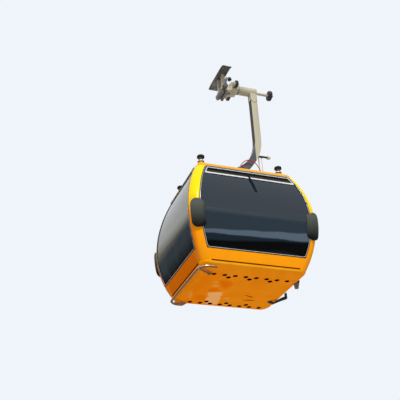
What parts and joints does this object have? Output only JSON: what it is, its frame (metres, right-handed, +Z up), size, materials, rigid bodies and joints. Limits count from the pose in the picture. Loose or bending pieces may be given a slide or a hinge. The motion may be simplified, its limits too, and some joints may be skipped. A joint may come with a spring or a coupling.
{
  "type": "gondola lift cabin with hanger and rope grip",
  "caption": "Enclosed ropeway cabin with bowed windows, buffers and bent rail, on a curved hanger arm with a sprung rope grip, guide roller and wheels.",
  "frame": {"origin": "centre of the rope, at the middle of the grip's jaws", "axes": "+X along the rope towards the front end, +Y across to the doors and the hanger arm, +Z up"},
  "size_m": [1.99, 2.08, 4.22],
  "materials": {
    "body_paint": "smooth glossy orange paint",
    "tinted_glass": "dark tinted acrylic",
    "black_rubber": "matt black",
    "bright_metal": "bright anodised",
    "grey_plastic": "moulded grey",
    "deck_metal": "plain sheet",
    "galvanised_steel": "weathered galvanising",
    "dark_grey_paint": "smooth dark grey",
    "forged_steel": "machined forging",
    "steel_pin": "ground",
    "roller_tyre": "hard black",
    "cream_paint": "cream",
    "black_paint": "satin black",
    "grey_paint": "satin grey",
    "red_sheath": "red sheath"
  },
  "bodies": {
    "grip": {"grip_body": "galvanised_steel", "fixed_jaw": "forged_steel", "hanger_pin": "steel_pin", "jaw_pin": "steel_pin", "spring_drums": "dark_grey_paint", "wheel_carriers": "galvanised_steel", "plate_posts": "galvanised_steel", "friction_plate": "forged_steel"},
    "jaw_lever": {"moving_jaw": "forged_steel"},
    "jaw_roller": {"lever_roller": "roller_tyre"},
    "wheel_front": {"running_wheel_front": "roller_tyre"},
    "wheel_rear": {"running_wheel_rear": "roller_tyre"},
    "guide": {"guide_roller": "roller_tyre"},
    "door_lever_roller": {"door_roller": "cream_paint"},
    "hanger": {"bench_front": "grey_plastic", "bench_rear": "grey_plastic", "buffer_bases": "body_paint", "buffer_rims": "bright_metal", "buffer_rubbers": "black_rubber", "bumpers": "black_rubber", "cable_glands": "black_paint", "corner_posts": "body_paint", "deck": "deck_metal", "door_edge_seal": "black_rubber", "door_glass": "tinted_glass", "door_guide_arm": "black_paint", "door_leaf_front": "body_paint", "door_leaf_rear": "body_paint", "door_lever": "cream_paint", "door_lever_head": "black_paint", "door_stay": "grey_paint", "end_panels": "body_paint", "end_seals": "black_rubber", "end_windows": "tinted_glass", "floor_pan": "body_paint", "guide_rod": "galvanised_steel", "gutters": "bright_metal", "hanger_arm": "galvanised_steel", "hanger_foot": "dark_grey_paint", "hanger_head": "galvanised_steel", "red_cable": "red_sheath", "roof_frame": "galvanised_steel", "roof_mounts": "black_rubber", "roof_shell": "body_paint", "side_panel_left": "body_paint", "side_panel_right": "body_paint", "side_rail": "bright_metal", "side_seal": "black_rubber", "side_window": "tinted_glass", "vent_flaps": "tinted_glass", "vent_frames": "bright_metal"}
  },
  "joints": [
    {"name": "hanger_swing", "type": "hinge", "parent": "grip", "child": "hanger", "pos_m": [0, 0.45, 0.18], "axis": [0, 1, 0], "range_deg": [-35, 35]},
    {"name": "jaw_open", "type": "hinge", "parent": "grip", "child": "jaw_lever", "pos_m": [0, 0, 0.095], "axis": [1, 0, 0], "range_deg": [-14, 0], "stiffness_Nm_per_rad": 300, "springref_deg": 17.19},
    {"name": "jaw_roller_spin", "type": "hinge", "parent": "jaw_lever", "child": "jaw_roller", "pos_m": [0, 0.166, 0.4], "axis": [0, 1, 0], "continuous": true},
    {"name": "wheel_front_spin", "type": "hinge", "parent": "grip", "child": "wheel_front", "pos_m": [0.2, 0.2, 0.15], "axis": [0, 1, 0], "continuous": true},
    {"name": "wheel_rear_spin", "type": "hinge", "parent": "grip", "child": "wheel_rear", "pos_m": [-0.2, 0.2, 0.15], "axis": [0, 1, 0], "continuous": true},
    {"name": "guide_roller_spin", "type": "hinge", "parent": "hanger", "child": "guide", "pos_m": [0, 0.929, 0.18], "axis": [0, 1, 0], "continuous": true},
    {"name": "door_roller_spin", "type": "hinge", "parent": "hanger", "child": "door_lever_roller", "pos_m": [-0.075, 0.814, -1.119], "axis": [0, 1, 0], "continuous": true}
  ]
}
